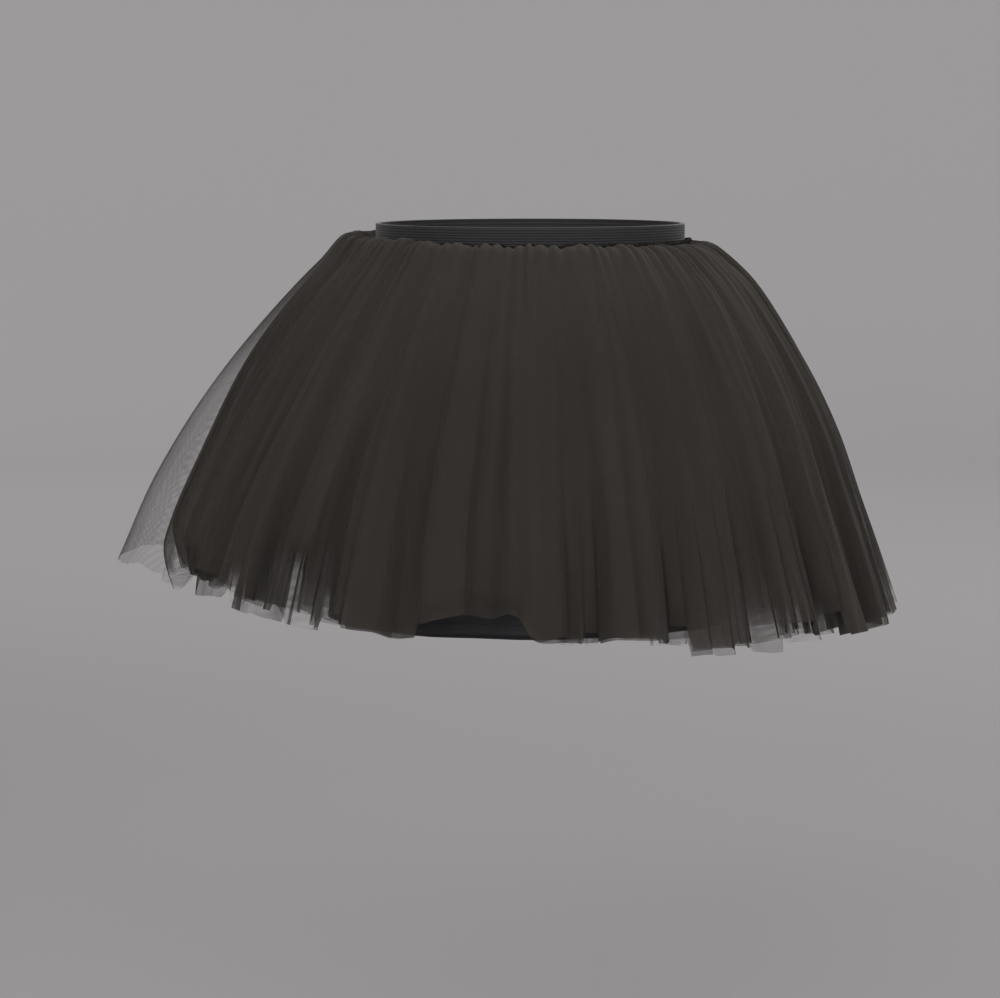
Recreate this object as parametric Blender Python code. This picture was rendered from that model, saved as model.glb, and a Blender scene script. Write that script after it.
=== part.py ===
"""A child's ballet tutu: an elastic waistband, four gathered tulle skirts and a slip lining.

The skirt keeps the hollow form that it has when worn. It is modelled in metres with +Z up, the
front towards -Y and the wearer's right-hand side towards -X. The origin is the centre of the
waistband, where the wearer's waist holds the garment up.

Each tulle skirt is two panels, front and back, seamed at the sides. All four share one set of
flutes, so they nest in each other, and each skirt stands off the next one by its own amount.
"""

import math
import random
from collections import namedtuple

import bmesh
import bpy
from mathutils import Vector

# Sewing sizes
SEAM_GAP = 0.0003
TULLE_THICKNESS = 0.0010
LINING_THICKNESS = 0.0010
SEWING_PITCH = 0.00165  # each tulle skirt is sewn to the band this far below the one outside it

# Waistband, an oval loop of covered elastic
BAND_HALF_WIDTH = 0.1015
BAND_HALF_DEPTH = 0.0865
BAND_THICKNESS = 0.0030
BAND_HEIGHT = 0.0240
BAND_EDGE_ROUNDING = 0.0010
BAND_COLUMNS = 56

# Flutes, the soft upright pleats that the gathers open into
FLUTES_PER_PANEL = 14
FLUTE_DEPTH_AT_BAND = 0.0007  # from the middle of the wave to its crest
FLUTE_DEPTH_AT_HEM = 0.0070
FLUTE_DEPTH_GROWTH = 1.2
FLUTE_WIDTH_SCATTER = 0.34
FLUTE_DEPTH_SCATTER = 0.30
FLUTE_SEED = 7

# One flute across its width: where each corner stands, and whether it is on the crest or in the valley
FluteCorner = namedtuple("FluteCorner", "share level")
FLUTE_CORNERS = (
    FluteCorner(share=0.06, level=-1),
    FluteCorner(share=0.20, level=+1),
    FluteCorner(share=0.62, level=+1),
    FluteCorner(share=0.76, level=-1),
)

# The outermost skirt from the band to the hem. A reach is the distance from the middle of the
# waist, and a height is above the waistband's centre.
Section = namedtuple(
    "Section",
    "drop left_reach left_height right_reach right_height"
    " front_reach front_height back_reach back_height",
)
SECTIONS = (
    Section(0.00, 0.1036, -0.0030, 0.1036, -0.0030, 0.0886, -0.0030, 0.0886, -0.0030),
    Section(0.06, 0.1190, +0.0050, 0.1180, -0.0040, 0.1045, -0.0005, 0.1060, +0.0010),
    Section(0.15, 0.1380, -0.0120, 0.1380, -0.0185, 0.1230, -0.0185, 0.1280, -0.0160),
    Section(0.31, 0.1705, -0.0460, 0.1660, -0.0560, 0.1420, -0.0560, 0.1520, -0.0520),
    Section(0.52, 0.2095, -0.0940, 0.1950, -0.1110, 0.1640, -0.1120, 0.1780, -0.1070),
    Section(0.76, 0.2460, -0.1520, 0.2165, -0.1770, 0.1870, -0.1740, 0.2010, -0.1700),
    Section(1.00, 0.2700, -0.2050, 0.2350, -0.2420, 0.2060, -0.2330, 0.2170, -0.2290),
)

# How far each skirt lies inside the outermost one at the hem, how much calmer its flutes are at
# the left, and how its hem hangs. At the left all but the outermost lie further in by one more
# step, so that the outermost swings out alone.
Skirt = namedtuple("Skirt", "name left right front back calm_left longer hem_scatter seed")
SKIRTS = (
    Skirt("tulle_outer", 0.000, 0.000, 0.000, 0.000, 0.75, 0.000, 0.0035, 11),
    Skirt("tulle_second", 0.000, 0.005, 0.007, 0.007, 0.25, 0.002, 0.0045, 23),
    Skirt("tulle_third", 0.007, 0.012, 0.014, 0.014, 0.00, 0.003, 0.0045, 37),
    Skirt("tulle_inner", 0.014, 0.019, 0.021, 0.021, 0.00, 0.002, 0.0045, 41),
)
WING_STEP = 0.029
WING_GROWTH = 1.7
CALM_HALF_ANGLE = math.radians(50)

# Where the tulle hems hang below their even line (a positive fall) or rise above it. Just left of
# the centre front they rise, and the lining's hem looks out under them.
HemFall = namedtuple("HemFall", "degrees half_degrees fall")
HEM_FALLS = (
    HemFall(180, 34, +0.005),
    HemFall(-60, 24, +0.004),
    HemFall(-98, 12, -0.014),
    HemFall(-92, 4, -0.006),
    HemFall(-138, 42, -0.011),
)

# The slip lining, an A-line tube that hangs from the band's lower edge
LiningSection = namedtuple("LiningSection", "height half_width half_depth")
LINING_TOP = -BAND_HEIGHT / 2 - SEAM_GAP
LINING_SECTIONS = (
    LiningSection(LINING_TOP, 0.1000, 0.0850),
    LiningSection(-0.0500, 0.1070, 0.0930),
    LiningSection(-0.1400, 0.1190, 0.1050),
    LiningSection(-0.2480, 0.1320, 0.1160),
)
LINING_WAVES = 12
LINING_WAVE_DEPTH = 0.0018
LINING_COLUMNS_PER_PANEL = 36

# Finishes: colour, roughness and metallic value
Finish = namedtuple("Finish", "name colour roughness metallic")
BLACK_TULLE = Finish("black_tulle", (0.030, 0.029, 0.028), 0.85, 0.0)
BLACK_SATIN = Finish("black_satin", (0.012, 0.012, 0.015), 0.45, 0.0)
BLACK_ELASTIC = Finish("black_elastic", (0.018, 0.018, 0.020), 0.70, 0.0)


def clear_scene():
    """Remove whatever the file holds."""
    for obj in list(bpy.data.objects):
        bpy.data.objects.remove(obj)


def material(finish):
    """A plain Principled material for one finish."""
    made = bpy.data.materials.new(finish.name)
    made.use_nodes = True
    shader = made.node_tree.nodes["Principled BSDF"]
    shader.inputs["Base Color"].default_value = (*finish.colour, 1.0)
    shader.inputs["Roughness"].default_value = finish.roughness
    shader.inputs["Metallic"].default_value = finish.metallic
    return made


def add_object(name, mesh_builder, finish):
    """A named object with the mesh in a bmesh and one material."""
    mesh = bpy.data.meshes.new(name)
    mesh_builder.to_mesh(mesh)
    mesh_builder.free()
    mesh.materials.append(finish)
    obj = bpy.data.objects.new(name, mesh)
    bpy.context.scene.collection.objects.link(obj)
    return obj


def add_grid(builder, columns):
    """Faces between neighbouring columns of points, facing out when columns turn anticlockwise."""
    verts = [[builder.verts.new(point) for point in column] for column in columns]
    for left, right in zip(verts, verts[1:]):
        for row in range(len(left) - 1):
            builder.faces.new((left[row], left[row + 1], right[row + 1], right[row]))


def thicken(obj, thickness):
    """Give an open sheet its wall, half on each side."""
    solidify = obj.modifiers.new("cloth thickness", "SOLIDIFY")
    solidify.thickness = thickness
    solidify.offset = 0.0
    solidify.use_even_offset = True
    solidify.use_rim = True
    return obj


def bump(angle, centre, half_angle):
    """1 at the centre angle, easing to 0 at half_angle either side."""
    away = abs((angle - centre + math.pi) % (2 * math.pi) - math.pi)
    return 0.0 if away >= half_angle else 0.5 + 0.5 * math.cos(math.pi * away / half_angle)


def around(angle, left, right, front, back):
    """A size blended between the four sides of the skirt."""
    side = right if math.cos(angle) > 0 else left
    end = back if math.sin(angle) > 0 else front
    return side * math.cos(angle) ** 2 + end * math.sin(angle) ** 2


def section_point(section, angle):
    """A point of the outermost skirt, before its flutes."""
    reach_x = section.right_reach if math.cos(angle) > 0 else section.left_reach
    reach_y = section.back_reach if math.sin(angle) > 0 else section.front_reach
    height = around(
        angle,
        section.left_height,
        section.right_height,
        section.front_height,
        section.back_height,
    )
    return Vector((reach_x * math.cos(angle), reach_y * math.sin(angle), height))


def section_frame(row, angle):
    """(point, outward direction, downward direction) on the outermost skirt."""
    above = SECTIONS[max(row - 1, 0)]
    below = SECTIONS[min(row + 1, len(SECTIONS) - 1)]
    down = (section_point(below, angle) - section_point(above, angle)).normalized()
    step = 0.001
    section = SECTIONS[row]
    across = section_point(section, angle + step) - section_point(section, angle - step)
    outward = down.cross(across).normalized()
    return section_point(section, angle), outward, down


def flute_depth(drop):
    """Half the height of a flute's wave at this share of the way down."""
    grown = drop**FLUTE_DEPTH_GROWTH
    return FLUTE_DEPTH_AT_BAND + (FLUTE_DEPTH_AT_HEM - FLUTE_DEPTH_AT_BAND) * grown


def hem_fall(angle):
    """How far the tulle hems hang below their even line at this angle."""
    return sum(
        part.fall * bump(angle, math.radians(part.degrees), math.radians(part.half_degrees))
        for part in HEM_FALLS
    )


Column = namedtuple("Column", "angle level flute")


def flute_columns(start_angle, end_angle, seed):
    """The upright lines of one panel: its two seam edges and the corners of its flutes."""
    scatter = random.Random(seed)
    widths = [1 + FLUTE_WIDTH_SCATTER * scatter.uniform(-1, 1) for _ in range(FLUTES_PER_PANEL)]
    depths = [1 + FLUTE_DEPTH_SCATTER * scatter.uniform(-1, 1) for _ in range(FLUTES_PER_PANEL)]
    span = (end_angle - start_angle) / sum(widths)
    columns = [Column(start_angle, -depths[0], 0)]
    angle = start_angle
    for flute, (width, depth) in enumerate(zip(widths, depths)):
        for corner in FLUTE_CORNERS:
            columns.append(Column(angle + corner.share * width * span, corner.level * depth, flute))
        angle += width * span
    columns.append(Column(end_angle, -depths[-1], FLUTES_PER_PANEL - 1))
    return columns


def tulle_point(skirt, row, column, hem_drop):
    """A point of one skirt's cloth, at one section and one upright line."""
    drop = SECTIONS[row].drop
    point, outward, down = section_frame(row, column.angle)
    order = SKIRTS.index(skirt)
    if row == 0:
        inside = Vector((0, 0, -SEWING_PITCH * order))
    else:
        fan = drop * around(column.angle, skirt.left, skirt.right, skirt.front, skirt.back)
        if order > 0:
            fan += drop**WING_GROWTH * around(column.angle, WING_STEP, 0.0, 0.0, 0.0)
        inside = -outward * (SEWING_PITCH * order + fan)
    calm = 1 - skirt.calm_left * bump(column.angle, math.pi, CALM_HALF_ANGLE)
    wave = flute_depth(drop) * calm * column.level
    point = point + inside + outward * wave
    if row == len(SECTIONS) - 1:
        point += down * (skirt.longer + hem_drop + hem_fall(column.angle))
    return point


def tulle_panel(skirt, side, start_angle, end_angle, finish):
    """One panel of a gathered tulle skirt, from seam to seam."""
    columns = flute_columns(start_angle, end_angle, FLUTE_SEED + len(side))
    scatter = random.Random(skirt.seed + len(side))
    crest_drops = [skirt.hem_scatter * scatter.uniform(-1, 1) for _ in range(FLUTES_PER_PANEL)]
    valley_drops = [skirt.hem_scatter * scatter.uniform(-1, 1) for _ in range(FLUTES_PER_PANEL)]
    builder = bmesh.new()
    points = []
    for column in columns:
        hem_drop = crest_drops[column.flute] if column.level > 0 else valley_drops[column.flute]
        if column in (columns[0], columns[-1]):
            hem_drop = 0.0
        points.append(
            [tulle_point(skirt, row, column, hem_drop) for row in range(len(SECTIONS))]
        )
    add_grid(builder, points)
    obj = add_object(f"{skirt.name}_{side}", builder, finish)
    return thicken(obj, TULLE_THICKNESS)


def lining_panel(side, start_angle, end_angle, finish):
    """One panel of the slip lining, with a softly waving hem."""
    builder = bmesh.new()
    columns = []
    for column in range(LINING_COLUMNS_PER_PANEL + 1):
        share = column / LINING_COLUMNS_PER_PANEL
        angle = start_angle + (end_angle - start_angle) * share
        wave = math.cos(LINING_WAVES * angle)
        points = []
        for section in LINING_SECTIONS:
            fallen = (LINING_TOP - section.height) / (LINING_TOP - LINING_SECTIONS[-1].height)
            swell = LINING_WAVE_DEPTH * fallen * wave
            points.append(
                Vector(
                    (
                        (section.half_width + swell) * math.cos(angle),
                        (section.half_depth + swell) * math.sin(angle),
                        section.height,
                    )
                )
            )
        columns.append(points)
    add_grid(builder, columns)
    obj = add_object(f"lining_{side}", builder, finish)
    return thicken(obj, LINING_THICKNESS)


def waistband(finish):
    """The oval elastic loop, a rounded rectangle swept round the waist."""
    half_height = BAND_HEIGHT / 2
    rounding = BAND_EDGE_ROUNDING
    profile = (
        (0.0, -half_height + rounding),
        (0.0, half_height - rounding),
        (-rounding, half_height),
        (rounding - BAND_THICKNESS, half_height),
        (-BAND_THICKNESS, half_height - rounding),
        (-BAND_THICKNESS, -half_height + rounding),
        (rounding - BAND_THICKNESS, -half_height),
        (-rounding, -half_height),
    )
    builder = bmesh.new()
    rings = []
    for column in range(BAND_COLUMNS):
        angle = 2 * math.pi * column / BAND_COLUMNS
        rings.append(
            [
                builder.verts.new(
                    (
                        (BAND_HALF_WIDTH + inset) * math.cos(angle),
                        (BAND_HALF_DEPTH + inset) * math.sin(angle),
                        height,
                    )
                )
                for inset, height in profile
            ]
        )
    for ring, following in zip(rings, rings[1:] + rings[:1]):
        for corner in range(len(profile)):
            after = (corner + 1) % len(profile)
            builder.faces.new((ring[corner], following[corner], following[after], ring[after]))
    bmesh.ops.recalc_face_normals(builder, faces=builder.faces)
    return add_object("waistband", builder, finish)


def seam_angle(reach):
    """The angle that leaves half a seam's gap at this distance from the middle."""
    return SEAM_GAP / 2 / reach


def build():
    """Build the whole tutu."""
    clear_scene()
    tulle = material(BLACK_TULLE)
    satin = material(BLACK_SATIN)
    elastic = material(BLACK_ELASTIC)
    waistband(elastic)
    gap = seam_angle(BAND_HALF_WIDTH)
    sides = (("front", -math.pi + gap, -gap), ("back", gap, math.pi - gap))
    for side, start_angle, end_angle in sides:
        for skirt in SKIRTS:
            tulle_panel(skirt, side, start_angle, end_angle, tulle)
        lining_panel(side, start_angle, end_angle, satin)


build()
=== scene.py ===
"""Dresses a child's ballet tutu: net skirts, slip lining, elastic waistband and their sewing.

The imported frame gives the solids. Every net skirt here is one thin sheet round the whole waist, on
the form of its two solid panels, with finer gathers, flutes and hem corners. Sizes are in metres.
"""

import logging
import math
import random
from collections.abc import Iterable
from dataclasses import astuple, dataclass
from enum import Enum

import bmesh
import bpy
import numpy as np
from mathutils import Matrix, Vector

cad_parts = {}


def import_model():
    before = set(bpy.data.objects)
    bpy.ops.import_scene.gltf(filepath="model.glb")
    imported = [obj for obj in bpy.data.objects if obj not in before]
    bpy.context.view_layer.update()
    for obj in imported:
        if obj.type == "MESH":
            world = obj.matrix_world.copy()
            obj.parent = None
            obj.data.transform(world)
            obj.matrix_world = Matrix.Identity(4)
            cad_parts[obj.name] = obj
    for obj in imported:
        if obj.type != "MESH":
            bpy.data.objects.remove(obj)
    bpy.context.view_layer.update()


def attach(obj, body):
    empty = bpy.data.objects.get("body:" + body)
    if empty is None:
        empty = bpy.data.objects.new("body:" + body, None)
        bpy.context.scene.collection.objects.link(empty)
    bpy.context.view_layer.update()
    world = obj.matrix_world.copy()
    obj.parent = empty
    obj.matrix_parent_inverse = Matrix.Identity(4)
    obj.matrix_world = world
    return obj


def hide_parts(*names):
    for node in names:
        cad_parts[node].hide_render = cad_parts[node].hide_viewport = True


LOG = logging.getLogger("tutu")
BODY = "root"
PANELS = ("front", "back")
TURN = 2 * math.pi
UP = np.array((0.0, 0.0, 1.0))
MM = 0.001
WELD = 2e-6
STUDIO_WELD = 1e-5
# How a row of a tab table ends: falls, notch, thinning and its reach
USUAL_TAB = (0, 0, 0, 0.5, 0, 0.05)


class Slot(Enum):
    """The record's material slots."""

    NET = "black_tulle"
    SATIN = "black_satin"
    ELASTIC = "black_elastic"


# ---- Materials ----


class Graph:
    """One material's nodes, with a single way to add any of them."""

    # The sockets of a Mix node that are live when it mixes colours
    MIX_SHARE, MIX_LOW, MIX_HIGH, MIXED = 0, 6, 7, 2

    def __init__(self, name: str) -> None:
        """Start an empty material.

        Args:
            name: The material's name.
        """
        self.material = bpy.data.materials.new(name)
        self.material.use_nodes = True
        self.tree = self.material.node_tree
        self.tree.nodes.clear()

    def add(self, kind: str, settings: dict | None = None, inputs: dict | None = None) -> bpy.types.Node:
        """Add a node.

        Args:
            kind: The node's type.
            settings: The node's own properties, set before its sockets.
            inputs: Values, sockets or Fields for its input sockets, by name or number.

        Returns:
            The new node.
        """
        node = self.tree.nodes.new(kind)
        for name, value in (settings or {}).items():
            setattr(node, name, value)
        for key, value in (inputs or {}).items():
            socket = value.socket if isinstance(value, Field) else value
            if isinstance(socket, bpy.types.NodeSocket):
                self.tree.links.new(socket, node.inputs[key])
            else:
                node.inputs[key].default_value = socket
        return node

    def field(self, kind: str, output: str | int = 0, settings: dict | None = None,
              inputs: dict | None = None) -> "Field":
        """Add a node and wrap one of its outputs.

        Args:
            kind: The node's type.
            output: The output's name or number.
            settings: The node's own properties.
            inputs: Values, sockets or Fields for its inputs.

        Returns:
            The wrapped output.
        """
        return Field(self, self.add(kind, settings, inputs).outputs[output])

    def uv(self, name: str) -> tuple["Field", "Field", "Field"]:
        """Read a UV map.

        Args:
            name: The map's name.

        Returns:
            Across, down, and both as a vector.
        """
        cloth = self.field("ShaderNodeUVMap", settings={"uv_map": name})
        parts = self.add("ShaderNodeSeparateXYZ", inputs={0: cloth})
        return Field(self, parts.outputs[0]), Field(self, parts.outputs[1]), cloth

    def place(self) -> "Field":
        """The place on the object, in metres."""
        return self.field("ShaderNodeTexCoord", "Object")

    def attribute(self, name: str) -> "Field":
        """A number stored on the mesh."""
        return self.field("ShaderNodeAttribute", "Fac", {"attribute_name": name})

    def slant(self) -> "Field":
        """0 where the surface faces the eye and 1 where it is seen edge on."""
        return self.field("ShaderNodeLayerWeight", "Facing", inputs={"Blend": 0.5})

    def math(self, operation: str, *values: "Field | float") -> "Field":
        """A Math node on these values, in their order."""
        return self.field("ShaderNodeMath", settings={"operation": operation}, inputs=dict(enumerate(values)))

    def noise(self, place: "Field", scale: float, detail: float = 2.0) -> "Field":
        """Soft noise from about 0 to 1.

        Args:
            place: Where to read it.
            scale: Cells in a metre.
            detail: How many finer layers are added.

        Returns:
            The noise.
        """
        inputs = {"Vector": place, "Scale": scale, "Detail": detail}
        return self.field("ShaderNodeTexNoise", "Fac", inputs=inputs)

    def blend(self, share: "Field", low: tuple, high: tuple) -> "Field":
        """A colour between two colours.

        Args:
            share: 0 for the first and 1 for the second.
            low: The first colour.
            high: The second colour.

        Returns:
            The mixed colour.
        """
        inputs = {self.MIX_SHARE: share, self.MIX_LOW: (*low, 1.0), self.MIX_HIGH: (*high, 1.0)}
        return self.field("ShaderNodeMix", self.MIXED, {"data_type": "RGBA"}, inputs)

    def bump(self, height: "Field", distance: float, strength: float) -> "Field":
        """A normal that follows a height.

        Args:
            height: The height, from 0 to 1.
            distance: What a height of 1 stands for.
            strength: How much of it shows.

        Returns:
            The normal.
        """
        inputs = {"Height": height, "Distance": distance, "Strength": strength}
        return self.field("ShaderNodeBump", "Normal", inputs=inputs)

    def finish(self, inputs: dict) -> bpy.types.Material:
        """Close the material with a Principled shader.

        Args:
            inputs: The shader's values and links.

        Returns:
            The material.
        """
        shader = self.add("ShaderNodeBsdfPrincipled", inputs=inputs)
        self.add("ShaderNodeOutputMaterial", inputs={"Surface": shader.outputs["BSDF"]})
        return self.material


class Field:
    """A number that varies over a surface; arithmetic on it adds Math nodes."""

    def __init__(self, graph: Graph, socket: bpy.types.NodeSocket) -> None:
        """Wrap a node's output."""
        self.graph = graph
        self.socket = socket

    def __add__(self, other: "Field | float") -> "Field":
        """Field plus other."""
        return self.graph.math("ADD", self, other)

    __radd__ = __add__

    def __sub__(self, other: "Field | float") -> "Field":
        """Field minus other."""
        return self.graph.math("SUBTRACT", self, other)

    def __rsub__(self, other: float) -> "Field":
        """Other minus field."""
        return self.graph.math("SUBTRACT", other, self)

    def __mul__(self, other: "Field | float") -> "Field":
        """Field times other."""
        return self.graph.math("MULTIPLY", self, other)

    __rmul__ = __mul__

    def __rtruediv__(self, other: float) -> "Field":
        """Other divided by field."""
        return self.graph.math("DIVIDE", other, self)

    def __rpow__(self, other: float) -> "Field":
        """Other to the power of field."""
        return self.graph.math("POWER", other, self)

    def cos(self) -> "Field":
        """The cosine of this field, in radians."""
        return self.graph.math("COSINE", self)

    def wave(self, pitch: float) -> "Field":
        """A wave from -1 to 1 that comes round once in every pitch."""
        return (self * (TURN / pitch)).cos()

    def ramp(self, start: float, end: float) -> "Field":
        """0 at the start value and 1 at the end value, eased."""
        inputs = {"Value": self, "From Min": start, "From Max": end}
        return self.graph.field("ShaderNodeMapRange", 0, {"interpolation_type": "SMOOTHSTEP"}, inputs)


@dataclass(frozen=True)
class NetFinish:
    """Soft black tulle: a six-sided net whose meshes let light through.

    A fold that is seen on the slant has more thread in the line of sight, so it looks denser. Where
    it lies in one thickness, bands of closer and wider meshes run across it.
    """

    name: str = "black_net"
    shade: tuple = (0.032, 0.0294, 0.0268)
    thread_lit: tuple = (0.060, 0.0545, 0.0500)
    mesh_pitch: float = 0.00085
    thread_edge: float = -1.15
    mesh_edge: float = -0.75
    mesh_haze: float = 0.020
    thread_cover: float = 0.43
    layer_pass: float = 0.86
    slant_limit: float = 0.12
    band_pitch: float = 0.0060
    band_slope: float = 0.55
    band_depth: float = 0.60
    wander_scale: float = 16.0
    wander: float = 0.045
    cloud_scale: float = 9.0
    cloud_tint: float = 0.5
    thread_tint: float = 0.7
    relief: tuple = (0.0002, 0.35)

    def make(self) -> bpy.types.Material:
        """Build the material.

        Returns:
            The material.
        """
        graph = Graph(self.name)
        across, down, cloth = graph.uv("cut")
        row = TURN / (self.mesh_pitch * math.sqrt(3) / 2)
        slanted = across * (row * math.sqrt(3) / 2)
        level = down * (row / 2)
        meshes = (down * row).cos() + (slanted - level).cos() + (slanted + level).cos()
        thread = 1 - meshes.ramp(self.thread_edge, self.mesh_edge)
        wander = graph.noise(cloth, self.wander_scale, 1.0) * self.wander
        bands = (across * self.band_slope + down + wander).wave(self.band_pitch)
        thicker = (1 + self.slant_limit) / (1 + self.slant_limit - graph.slant())
        behind = self.layer_pass ** (graph.attribute("fullness") * thicker - 1)
        single = thread * (self.thread_cover - self.mesh_haze) + self.mesh_haze
        single = single * (1 + bands * self.band_depth * behind * behind)
        alpha = 1 - (1 - single) * behind
        lit = graph.noise(cloth, self.cloud_scale, 3.0) * self.cloud_tint + thread * self.thread_tint
        return graph.finish({
            "Base Color": graph.blend(lit, self.shade, self.thread_lit),
            "Roughness": 0.9,
            "Specular IOR Level": 0.12,
            "Sheen Weight": 0.04,
            "Sheen Roughness": 0.5,
            "Sheen Tint": (0.80, 0.76, 0.73, 1.0),
            "Alpha": alpha,
            "Normal": graph.bump(thread, *self.relief),
        })


@dataclass(frozen=True)
class SatinFinish:
    """Black lining satin: floats of yarn run down the cloth and catch the light."""

    name: str = "black_satin_lining"
    shade: tuple = (0.014, 0.014, 0.017)
    glow: tuple = (0.028, 0.028, 0.034)
    yarn_pitch: float = 0.0006
    float_pitch: float = 0.0030
    float_slope: float = 2.0
    yarn_share: float = 0.3
    float_share: float = 0.2
    slub_scale: float = 60.0
    slub_tint: float = 0.7
    slub_roughness: float = 0.16
    roughness: float = 0.34
    relief: tuple = (0.00012, 0.5)

    def make(self) -> bpy.types.Material:
        """Build the material.

        Returns:
            The material.
        """
        graph = Graph(self.name)
        across, down, cloth = graph.uv("cut")
        floats = (across * self.float_slope + down).wave(self.float_pitch)
        weave = across.wave(self.yarn_pitch) * self.yarn_share + floats * self.float_share + 0.5
        slubs = graph.noise(cloth, self.slub_scale, 4.0)
        lit = slubs * self.slub_tint + weave * (1 - self.slub_tint)
        return graph.finish({
            "Base Color": graph.blend(lit, self.shade, self.glow),
            "Roughness": slubs * self.slub_roughness + self.roughness,
            "Specular IOR Level": 0.5,
            "Sheen Weight": 0.25,
            "Sheen Roughness": 0.35,
            "Sheen Tint": (0.75, 0.76, 0.85, 1.0),
            "Normal": graph.bump(weave + slubs, *self.relief),
        })


@dataclass(frozen=True)
class ElasticFinish:
    """Black woven elastic: rubber cores under a close knit of yarn."""

    name: str = "black_woven_elastic"
    shade: tuple = (0.013, 0.013, 0.015)
    crest: tuple = (0.030, 0.030, 0.033)
    rib_pitch: float = 0.0016
    loop_pitch: float = 0.0011
    loop_shift: float = 1.6
    fuzz_scale: float = 900.0
    rib_share: float = 0.45
    loop_share: float = 0.35
    fuzz_share: float = 0.2
    roughness: float = 0.82
    crest_polish: float = 0.18
    relief: tuple = (0.00025, 0.6)

    def make(self) -> bpy.types.Material:
        """Build the material.

        Returns:
            The material.
        """
        graph = Graph(self.name)
        across, down, cloth = graph.uv("cut")
        ribs = down.wave(self.rib_pitch) * 0.5 + 0.5
        loops = (across * (TURN / self.loop_pitch) + ribs * self.loop_shift).cos() * 0.5 + 0.5
        fuzz = graph.noise(cloth, self.fuzz_scale, 2.0)
        knit = ribs * self.rib_share + loops * self.loop_share + fuzz * self.fuzz_share
        return graph.finish({
            "Base Color": graph.blend(knit, self.shade, self.crest),
            "Roughness": self.roughness - knit * self.crest_polish,
            "Specular IOR Level": 0.35,
            "Sheen Weight": 0.2,
            "Sheen Roughness": 0.45,
            "Normal": graph.bump(knit, *self.relief),
        })


@dataclass(frozen=True)
class ThreadFinish:
    """Black polyester sewing thread with a twist."""

    name: str = "black_thread"
    shade: tuple = (0.014, 0.014, 0.016)
    shine: tuple = (0.045, 0.045, 0.050)
    twist_scale: float = 500.0
    twist_bend: float = 2.0
    roughness: float = 0.62
    shine_polish: float = 0.2
    relief: tuple = (0.00008, 0.5)

    def make(self) -> bpy.types.Material:
        """Build the material.

        Returns:
            The material.
        """
        graph = Graph(self.name)
        inputs = {"Vector": graph.place(), "Scale": self.twist_scale, "Distortion": self.twist_bend}
        twist = graph.field("ShaderNodeTexWave", "Fac", {"bands_direction": "DIAGONAL"}, inputs)
        return graph.finish({
            "Base Color": graph.blend(twist, self.shade, self.shine),
            "Roughness": self.roughness - twist * self.shine_polish,
            "Normal": graph.bump(twist, *self.relief),
        })


@dataclass(frozen=True)
class StudioFinish:
    """Seamless paper, pale and matt, with painted light: its colour grows lighter from the floor's middle out
    to the wall, where the lamps' light is weaker.
    """

    name: str = "studio_paper"
    floor: tuple = (0.370, 0.352, 0.360)
    # Painted light: the wall's colour is lighter than the floor's to stand in for lamp light that falls off
    # with distance
    wall: tuple = (0.740, 0.710, 0.733)
    # Where the painted lightening starts and where it is full, in metres from the middle
    floor_reach: float = 1.2
    wall_reach: float = 4.2
    patch_scale: float = 1.5
    patch_tint: float = 0.04

    def make(self) -> bpy.types.Material:
        """Build the material.

        Returns:
            The material.
        """
        graph = Graph(self.name)
        place = graph.place()
        reach = graph.field("ShaderNodeVectorMath", "Value", {"operation": "LENGTH"}, {0: place})
        patches = graph.noise(place, self.patch_scale, 2.0) * self.patch_tint - self.patch_tint / 2
        # Painted light that grows from the floor's middle out to the wall, plus the paper's own random
        # patches
        painted_light_and_patches = reach.ramp(self.floor_reach, self.wall_reach) + patches
        return graph.finish({"Base Color": graph.blend(painted_light_and_patches, self.floor, self.wall), "Roughness": 0.95})


# ---- The form that all the net skirts share ----


def eased(share: np.ndarray) -> np.ndarray:
    """0 below 0, 1 above 1, and a smooth step between."""
    inside = np.clip(share, 0.0, 1.0)
    return inside * inside * (3 - 2 * inside)


def hump(share: np.ndarray) -> np.ndarray:
    """1 at 0, easing to 0 at -1 and at 1."""
    return 0.5 + 0.5 * np.cos(math.pi * np.clip(share, -1, 1))


def turn_from(angle: np.ndarray | float, centre: np.ndarray | float = 0.0) -> np.ndarray | float:
    """The turn from a centre angle to this one, half a turn at most either way."""
    return (angle - centre + math.pi) % TURN - math.pi


def opened(drop: np.ndarray, reach: np.ndarray | float) -> np.ndarray:
    """0 above this last share of the cloth, easing to 1 halfway down it."""
    return eased((drop - 1 + reach) / (0.5 * reach))


def swell(angle: np.ndarray, centre: float, half: float) -> np.ndarray:
    """1 at the centre angle, easing to 0 at half a width either side."""
    return hump(turn_from(angle, centre) / half)


def spans(edges: np.ndarray, places: np.ndarray) -> tuple[np.ndarray, np.ndarray]:
    """Find the span between two edges that each place lies in.

    Args:
        edges: The edges, in rising order.
        places: The places to find.

    Returns:
        Each place's span, by number, and its share of the way along it.
    """
    span = np.clip(np.searchsorted(edges, places, side="right") - 1, 0, len(edges) - 2)
    return span, (places - edges[span]) / (edges[span + 1] - edges[span])


def draws(source: random.Random, limits: tuple[float, float], count: int) -> list[float]:
    """Numbers drawn evenly between two limits."""
    return [source.uniform(*limits) for _ in range(count)]


def unit(vectors: np.ndarray) -> np.ndarray:
    """Vectors of length 1."""
    return vectors / np.linalg.norm(vectors, axis=1, keepdims=True)


@dataclass(frozen=True)
class Section:
    """The outermost skirt's cloth at one share of its way from the band to the hem."""

    drop: float
    left_reach: float
    left_height: float
    right_reach: float
    right_height: float
    front_reach: float
    front_height: float
    back_reach: float
    back_height: float


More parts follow.
